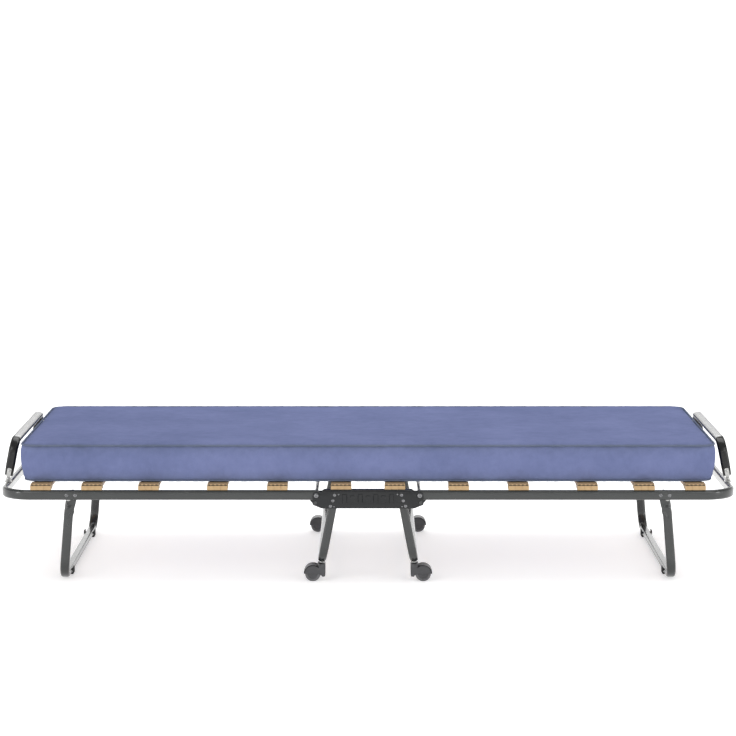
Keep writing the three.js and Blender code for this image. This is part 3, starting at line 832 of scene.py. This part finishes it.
def link_bars(zinc):
    reach = math.hypot(LEG_X - PIVOT_X, PIVOT_Z - LEG_Z)
    drop = math.atan2(PIVOT_Z - LEG_Z, LEG_X - PIVOT_X)
    half = 0.0015
    outline = arc((0, 0), 0.0055, 40, 320, 18) + arc((reach, 0), 0.0075, -152, 152, 20)
    for corner, sign, side, end in CORNERS:
        start = Vector((end * LINK_X, sign * LINK_Y, LINK_Z))
        along = Vector((end * math.cos(drop), 0, -math.sin(drop)))
        up = Vector((end * math.sin(drop), 0, math.cos(drop)))
        shell = Shell()
        shell.prism(outline, lambda u, v, w: start + along * u + up * v + Vector((0, w, 0)), -half, half)
        shell.piece(f"link_strip_{corner}", [zinc], f"links_{side}", [f"link_bar_{corner}"],
                    bevel=0.0005)


def foot_clips(black):
    """The saddles that grip the end legs' cross tube, each with three ribs on its walls."""
    _, low_x, low_z = leg_corners()
    inner, wall, sole, seat, rise = 0.0123, 0.003, 0.0105, 0.0073, 0.010
    outer = inner + wall
    right = [(outer - 0.002, -sole, 0.001), (outer, -seat, 0.002), (outer, rise, 0.0014),
             (inner, rise, 0.0012), (inner, -seat, 0.0)]
    outline = rounded(right + [(-x, z, r) for x, z, r in reversed(right)], 3)
    for corner, sign, side, end in CORNERS:
        shell = Shell()
        x0, y0, z0 = -end * low_x, sign * FOOT_Y, low_z
        shell.prism(outline, lambda u, v, w: (x0 + u, y0 + w, z0 + v), -0.010, 0.010)
        for face in (-1, 1):
            for k in (-1, 0, 1):
                rib = y0 + k * 0.006
                shell.box((x0 + face * (outer - 0.0004), rib - 0.001, z0 - 0.006),
                          (x0 + face * (outer + 0.0007), rib + 0.001, z0 + 0.008))
        shell.piece(f"foot_saddle_{corner}", [black], f"leg_{side}",
                    [f"foot_clip_{corner}"], bevel=0.0005)


def retainer_hinges(zinc):
    """A base plate on the end bar with two ears, the hinge pin through them, and two rivets."""
    floor = PIVOT_Z + WING_TUBE[0] / 2 + 0.0003
    top = HINGE_Z - floor + 0.0045
    base = rectangle(0.009, -0.012, 0.012, 0.004)
    ear = rounded([(-0.0055, 0.001, 0), (0.0055, 0.001, 0), (0.0048, top, 0.0045), (-0.0048, top, 0.0045)])
    for corner, sign, side, end in CORNERS:
        shell = Shell()
        x0, y0 = end * HINGE_X, sign * RETAINER_Y
        shell.prism(base, lambda u, v, w: (x0 + u, y0 + v, floor + w), 0.0, 0.002)
        for k in (-1, 1):
            shell.prism(ear, lambda u, v, w: (x0 + u, y0 + k * 0.0044 + w, floor + v), -0.001, 0.001)
            round_head(shell, (x0, y0 + k * 0.0054, HINGE_Z), (0, k, 0), 0.0034, 0.0014)
            round_head(shell, (x0, y0 + k * 0.0088, floor + 0.002), (0, 0, 1), 0.0024, 0.0012)
        shell.pin((x0, y0 - 0.0056, HINGE_Z), (0, 1, 0), 0.0025, 0.0112, 20)
        shell.piece(f"retainer_bracket_{corner}", [zinc], f"wing_{side}",
                    [f"retainer_hinge_{corner}"], bevel=0.0003)


# ---- Casters ----
HOOD_TOP = 0.046
HOOD_LOW = 0.013
HOOD_BACK = -0.0085
HOOD_HALF = 0.0206


def casters(plastic, tread, zinc):
    for corner, sign, side, end in CORNERS:
        origin = Vector((end * CASTER_X, sign * CASTER_Y, 0))

        def place(u, v, w):
            """u trails outward from the stem, v is up, w is along Y."""
            return origin + Vector((end * u, w, v))

        caster_stem(corner, origin, zinc)
        caster_hood(corner, place, plastic)
        caster_wheels(corner, place(WHEEL_X - CASTER_X, WHEEL_R, 0), plastic, tread)


def caster_stem(corner, origin, zinc):
    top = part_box(f"caster_stem_{corner}")[1].z
    profile = [(0, 0.0315), (0.0036, 0.0315), (0.004, 0.032), (0.004, 0.0468), (0.0078, 0.047),
               (0.0082, 0.0476), (0.0082, top - 0.0012), (0.0074, top), (0, top)]
    shell = Shell()
    shell.lathe(origin, (0, 0, 1), profile, 32)
    shell.piece(f"caster_post_{corner}", [zinc], "base", [f"caster_stem_{corner}"])


def caster_hood(corner, place, plastic):
    """A round shade over the wheels with two cheeks, the column round the stem, and a web."""
    trail = WHEEL_X - CASTER_X

    def shade(radius, start, end, steps):
        return [(2 * trail - u, v) for u, v in arc((trail, WHEEL_R), radius, start, end, steps)]

    back = [(HOOD_BACK, HOOD_TOP, 0.003), (HOOD_BACK, HOOD_LOW, 0.004)]
    cheek = shade(0.0235, 178, 52, 22)
    cheek += rounded([(0.0, HOOD_TOP, 0), *back, (0.0005, HOOD_LOW, 0.002), (0.003, 0.0195, 0.003)], 4)
    column = [(0.0115, HOOD_TOP, 0.0), *back, (0.0015, HOOD_LOW, 0.002), (0.0025, 0.034, 0.0),
              (0.0115, 0.0405, 0.0)]
    web = [(0.0, 0.044, 0.0), (-0.006, 0.014, 0.0), (trail + 0.004, HOOD_LOW, 0.006),
           (trail + 0.006, 0.04, 0.004)]
    shell = Shell()
    for low in (-HOOD_HALF, 0.0188):
        shell.prism(cheek, place, low, low + 0.0018)
    shell.prism(shade(0.0235, 178, 45, 24) + shade(0.0212, 45, 178, 24), place, -HOOD_HALF, HOOD_HALF)
    shell.prism(rounded(column, 4), place, -0.0190, 0.0190)
    shell.prism(rounded(web), place, -0.0046, 0.0046)
    shell.piece(f"caster_shell_{corner}", [plastic], f"caster_{corner}",
                [f"caster_hood_{corner}"], bevel=0.0009)


def caster_wheels(corner, centre, plastic, tread):
    """Two wheels, each a tyre round a dished hub, on one axle."""
    rim = WHEEL_R - 0.0006
    tyre = [(0, 0.0056), (0.0135, 0.0056), (0.0184, 0.0056), (rim, 0.0066), (WHEEL_R, 0.0082),
            (WHEEL_R, 0.0160), (rim, 0.0174), (0.0184, 0.0184), (0.0150, 0.0184), (0.0135, 0.0172),
            (0, 0.0172)]
    hub = [(0, 0.0170), (0.0134, 0.0170), (0.0126, 0.0180), (0.0070, 0.0176), (0.0062, 0.0184),
           (0.0030, 0.0186), (0, 0.0186)]
    shell = Shell()
    for k in (-1, 1):
        shell.lathe(centre, (0, k, 0), tyre, 48, 1)
        shell.lathe(centre, (0, k, 0), hub, 40, 0)
    shell.pin(centre - Vector((0, 0.006, 0)), (0, 1, 0), 0.003, 0.012, 20)
    shell.piece(f"caster_rollers_{corner}", [plastic, tread], f"wheels_{corner}",
                [f"caster_wheels_{corner}"])


# ---- Mattress ----
MATTRESS_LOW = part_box("mattress_left")[0]
MATTRESS_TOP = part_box("mattress_left")[1].z
MATTRESS_HALF = -MATTRESS_LOW.x
MATTRESS_Y = -MATTRESS_LOW.y
MATTRESS_Z = MATTRESS_LOW.z
MATTRESS_CORNER = 0.040
END_CURL = 0.012  # how far the ends draw in at the bottom
CURL_HEIGHT = 0.022
VOXEL = 0.0072
PUFF = 0.0055  # the most that the cloth may move
SEAM_INSET = PUFF + 0.0004
SEAM_LOW = MATTRESS_Z + 0.0042
SEAM_HIGH = MATTRESS_TOP - 0.0012
PIPING = 0.0026


def end_inset(z):
    """How far the mattress's end is drawn in at a height."""
    low = 1 - min(max(z - MATTRESS_Z, 0) / CURL_HEIGHT, 1)
    return END_CURL * low * low


def mattress_loop(inset, z, steps=10):
    """The left half of the mattress's outline at a height: the near side's corner, and the far side's."""
    half_y = MATTRESS_Y - inset
    end = -(MATTRESS_HALF - inset - end_inset(z))
    r = MATTRESS_CORNER
    near = [(end + r - p[0], -half_y + r - p[1]) for p in arc((0, 0), r, 90, 0, steps)]
    return near, [(x, -y) for x, y in reversed(near)]


def mattress_base_mesh():
    """The mattress before it is puffed up, with both ends rounded in plan."""
    levels = [(SEAM_LOW - 0.0022, 0.004), (SEAM_LOW, 0), (SEAM_LOW + 0.012, 0), (SEAM_LOW + 0.03, 0),
              (SEAM_HIGH, 0), (SEAM_HIGH + 0.0008, 0.006)]
    rings = []
    for z, more in levels:
        near, far = mattress_loop(SEAM_INSET + more, z)
        left = near + far
        right = [(-x, y) for x, y in reversed(left)]
        rings.append([(x, y, z) for x, y in left + right])
    shell = Shell()
    shell.loft(rings)
    return shell.mesh("mattress_base")


def evaluated_mesh(obj):
    depsgraph = bpy.context.evaluated_depsgraph_get()
    return bpy.data.meshes.new_from_object(obj.evaluated_get(depsgraph))


def coordinates(mesh):
    co = np.zeros(len(mesh.vertices) * 3, np.float32)
    mesh.vertices.foreach_get("co", co)
    return co.reshape(-1, 3).astype(float)


def puffed_mattress():
    """Remeshes the mattress, lets cloth under pressure fill it between its seams, and caps the movement."""
    obj = new_object("mattress_sim", mattress_base_mesh())
    assign(obj.modifiers.new("remesh", "REMESH"), mode="VOXEL", voxel_size=VOXEL)
    mesh = evaluated_mesh(obj)
    obj.modifiers.clear()
    obj.data = mesh
    before = coordinates(mesh)
    run_cloth(obj, before)
    after = coordinates(evaluated_mesh(obj))
    obj.modifiers.clear()
    move = after - before
    size = np.maximum(np.linalg.norm(move, axis=1, keepdims=True), 1e-9)
    move *= np.minimum(1.0, PUFF / size)
    co = before + move
    bpy.data.objects.remove(obj)
    return mesh, co


def from_seam(co):
    """Height above or below the nearer seam."""
    return np.minimum(np.abs(co[:, 2] - SEAM_HIGH), np.abs(co[:, 2] - SEAM_LOW))


def rim_depth(co):
    """How far inside the seams' outline each point is."""
    r = MATTRESS_CORNER
    x = np.maximum(np.abs(co[:, 0]) - (MATTRESS_HALF - SEAM_INSET - r), 0)
    y = np.maximum(np.abs(co[:, 1]) - (MATTRESS_Y - SEAM_INSET - r), 0)
    return np.maximum(r - np.hypot(x, y), 0)


def run_cloth(obj, co):
    pinned = np.nonzero((from_seam(co) < VOXEL * 0.8) & (rim_depth(co) < VOXEL * 0.8))[0]
    group = obj.vertex_groups.new(name="seams")
    group.add([int(i) for i in pinned], 1.0, "REPLACE")
    modifier = obj.modifiers.new("cloth", "CLOTH")
    assign(modifier.settings, quality=5, mass=0.25, tension_stiffness=12, compression_stiffness=12,
           bending_stiffness=0.4, use_pressure=True, uniform_pressure_force=4, shrink_min=-0.025,
           vertex_group_mass="seams")
    modifier.settings.effector_weights.gravity = 0
    modifier.collision_settings.use_collision = False
    modifier.point_cache.frame_start = 1
    modifier.point_cache.frame_end = 20
    for step in range(1, 21):
        scene.frame_set(step)


def value_noise(u, v, seed):
    """Smooth noise from -1 to 1, from a small table of fixed random values."""
    table = np.random.default_rng(seed).uniform(-1, 1, (64, 64))
    iu, iv = np.floor(u).astype(int), np.floor(v).astype(int)
    fu, fv = u - iu, v - iv
    fu, fv = fu * fu * (3 - 2 * fu), fv * fv * (3 - 2 * fv)
    pick = lambda a, b: table[a % 64, b % 64]
    low = pick(iu, iv) * (1 - fu) + pick(iu + 1, iv) * fu
    high = pick(iu, iv + 1) * (1 - fu) + pick(iu + 1, iv + 1) * fu
    return low * (1 - fv) + high * fv


def sculpt_mattress(co):
    """Adds what folding has left in the cover: a crease over each pivot, and creases in the borders."""
    x, y, z = co[:, 0], co[:, 1], co[:, 2]
    depth = rim_depth(co)
    top = np.clip((z - SEAM_HIGH) / 0.004, 0, 1) * np.clip(depth / 0.03, 0, 1)
    side = np.clip(1 - depth / 0.012, 0, 1)
    height = np.clip((z - SEAM_LOW) / (SEAM_HIGH - SEAM_LOW), 0, 1)
    over_pivot = np.abs(np.abs(x) - PIVOT_X)
    near_fold = np.exp(-((over_pivot / 0.12) ** 2))
    wander = value_noise(y / 0.09, np.sign(x) * 3 + 7, 3) * 0.012
    crease = np.exp(-((over_pivot / 0.03) ** 2)) * 0.0028
    fine = np.exp(-(((over_pivot + wander) / 0.007) ** 2)) * 0.0012
    ripple = near_fold * value_noise(x / 0.018, y / 0.12, 5) * 0.0009
    swell = value_noise(x / 0.13, y / 0.10, 11) * 0.0012
    z = z - top * (crease + fine - ripple - swell)
    slant = np.abs(x) - PIVOT_X + 0.035 * height
    folds = near_fold * value_noise(slant / 0.014 + 40, height * 1.3 + 2, 8)
    gathers = value_noise(x / 0.011 + 90, height * 0.9, 21) * np.exp(-from_seam(co) / 0.012)
    lumps = value_noise(x / 0.06, z / 0.05 + y, 9)
    out = side * np.sin(np.pi * height) ** 0.7 * (0.0026 * folds + 0.0011 * gathers + 0.0012 * lumps)
    y = y + np.sign(y) * out
    return np.stack([x, y, z], 1)


def mattress(fabric, piping):
    mesh, co = puffed_mattress()
    co = sculpt_mattress(co)
    co[:, 2] = np.clip(co[:, 2], MATTRESS_Z + 0.0004, MATTRESS_TOP + 0.0036)
    mesh.vertices.foreach_set("co", co.astype(np.float32).ravel())
    mesh.update()
    whole = new_object("mattress_whole", mesh)
    whole.modifiers.new("finer", "SUBSURF").levels = 1
    fine = evaluated_mesh(whole)
    bpy.data.objects.remove(whole)
    for side, sign in SIDES.items():
        half = half_mesh(fine, sign, f"mattress_half_{side}")
        obj = finish_piece(f"mattress_half_{side}", half, [fabric], None,
                           [f"mattress_{side}"] + (["mattress_middle"] if side == "left" else []), sharp=60)
        co = coordinates(half)
        # The share of painted shade: strongest at the seams and near the outline's rounded edges.
        keep_rest(half, np.exp(-from_seam(co) / 0.010) * np.exp(-rim_depth(co) / 0.014))
        blend_across(obj)
        for edge, z in (("top", SEAM_HIGH), ("bottom", SEAM_LOW)):
            piping_piece(edge, side, z, piping)


def half_mesh(mesh, sign, name):
    """Cuts the mattress at its middle and keeps one side, closed."""
    bm = bmesh.new()
    bm.from_mesh(mesh)
    geometry = bm.verts[:] + bm.edges[:] + bm.faces[:]
    bmesh.ops.bisect_plane(bm, geom=geometry, plane_co=(0, 0, 0), plane_no=(-sign, 0, 0), dist=1e-6,
                           clear_outer=True)
    rim = [e for e in bm.edges if e.is_boundary]
    bmesh.ops.edgeloop_fill(bm, edges=rim)
    return outward(bm, bpy.data.meshes.new(name))


def keep_rest(mesh, seam_shade_share):
    """Stores each vertex's place at rest, so that the weave stays on the cloth as it bends, and its share of
    painted seam shade.
    """
    place = mesh.attributes.new("rest_place", "FLOAT_VECTOR", "POINT")
    place.data.foreach_set("vector", coordinates(mesh).astype(np.float32).ravel())
    seam = mesh.attributes.new("seam", "FLOAT", "POINT")
    seam.data.foreach_set("value", seam_shade_share.astype(np.float32))


def blend_across(obj):
    """Bakes the piece's placement into its mesh."""
    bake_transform(obj)


def piping_piece(edge, side, z, piping):
    """The piping sewn into one seam: a cord with a slightly uneven thickness."""
    near, far = mattress_loop(SEAM_INSET + 0.0012, z, 14)
    outline = [(0.0, near[0][1])] + near + far + [(0.0, far[-1][1])]
    path = fill_in([Vector((x, y, z)) for x, y in outline], 0.007)
    shell = Shell()
    rings = []
    turns = [2 * math.pi * k / 12 for k in range(12)]
    up = Vector((0, 0, 1))
    for i, point in enumerate(path):
        tangent = (path[min(i + 1, len(path) - 1)] - path[max(i - 1, 0)]).normalized()
        if i in (0, len(path) - 1):
            tangent = Vector((-math.copysign(1, -point.y), 0, 0))
        out = tangent.cross(up)
        radius = PIPING * (1 + 0.07 * math.sin(i * 2.1) + 0.06 * math.sin(i * 0.73))
        rings.append([point + radius * (math.cos(t) * out + math.sin(t) * up) for t in turns])
    shell.loft(rings)
    name = f"piping_{edge}_{side}"
    mesh = shell.mesh(name, side == "right")
    obj = finish_piece(name, mesh, [piping], None, (), sharp=60)
    # The piping takes an even quarter share of the painted seam shade.
    keep_rest(mesh, np.full(len(mesh.vertices), 0.25))
    blend_across(obj)


# ---- Stage ----
def area_light(name, place, size, power, aim=(0, 0, 0.3)):
    data = bpy.data.lights.new(name, "AREA")
    assign(data, shape="RECTANGLE", size=size[0], size_y=size[1], energy=power)
    light = new_object(name, data)
    light.location = place
    light.rotation_euler = (Vector(aim) - Vector(place)).to_track_quat("-Z", "Y").to_euler()


def make_stage():
    """A round sweep of paper: level under the object, and curved up at its rim, all the way round."""
    level, bend, height = 15.0, 2.0, 5.0
    rim = [(r, z + bend) for r, z in arc((level, 0), bend, -90, 0, 10)]
    shell = Shell()
    shell.lathe((0, 0, 0), (0, 0, 1), [(0, 0), (level / 2, 0), *rim, (level + bend, height)], 72)
    shell.faces.pop()  # the lid that closes a lathed shell
    mesh = shell.mesh("paper")
    mesh.materials.append(floor_material())
    new_object("paper", mesh)
    world = bpy.data.worlds.new("studio")
    world.use_nodes = True
    inputs = world.node_tree.nodes["Background"].inputs
    inputs["Color"].default_value = (1, 1, 1, 1)
    inputs["Strength"].default_value = 0.55
    scene.world = world
    area_light("key", (-2.4, -4.2, 2.6), (2.0, 2.0), 44)
    area_light("fill", (2.6, -4.4, 2.2), (2.6, 2.0), 36)
    area_light("back", (0.0, 4.6, 2.4), (3.0, 2.0), 45)
    for side in (-1, 1):
        area_light("kicker", (4.6 * side, -3.2, 0.75), (1.0, 1.3), 34, (0.8 * side, 0, 0.25))
    area_light("top", (0.4, 0.6, 3.8), (4.5, 2.4), 100)
    scene.view_settings.view_transform = "Standard"


def main():
    paint = paint_material("frame_paint", (0.021, 0.0235, 0.023))
    plate_paint = paint_material("plate_paint", (0.011, 0.012, 0.013), 0.12, 0.32)
    black_paint = paint_material("retainer_paint", (0.006, 0.006, 0.006), 0.2, 0.35)
    zinc = zinc_material("zinc_plate", (0.34, 0.34, 0.33), (0.5, 0.5, 0.49))
    rivet = zinc_material("rivet_steel", (0.13, 0.132, 0.136), (0.22, 0.22, 0.225))
    hood_plastic = plastic_material("caster_plastic", (0.036, 0.036, 0.039), (0.05, 0.05, 0.054), 0.4)
    tread = plastic_material("caster_tread", (0.075, 0.075, 0.08), (0.105, 0.105, 0.11), 0.5)
    black = plastic_material("foot_plastic", (0.008, 0.008, 0.009), (0.014, 0.014, 0.015), 0.45)
    # Dark brown for the caps' groove and slots: painted shade in those recesses.
    dark = plastic_material("cap_slot", (0.018, 0.012, 0.007), (0.035, 0.024, 0.014), 0.7)
    fabric = fabric_material("ticking", (0.120, 0.143, 0.270), (0.158, 0.182, 0.335))
    piping = fabric_material("piping", (0.095, 0.115, 0.175), (0.13, 0.15, 0.22))
    make_camera()
    make_stage()
    wing_frames(paint)
    end_legs(paint)
    caster_legs(paint)
    retainers(black_paint, zinc)
    side_plates(plate_paint, rivet)
    tie_rods(paint)
    pivot_bolts(plate_paint, rivet)
    slats(wood_material(), cap_material(), dark)
    leg_brackets(zinc, rivet)
    link_bars(zinc)
    foot_clips(black)
    retainer_hinges(zinc)
    casters(hood_plastic, tread, zinc)
    mattress(fabric, piping)


main()
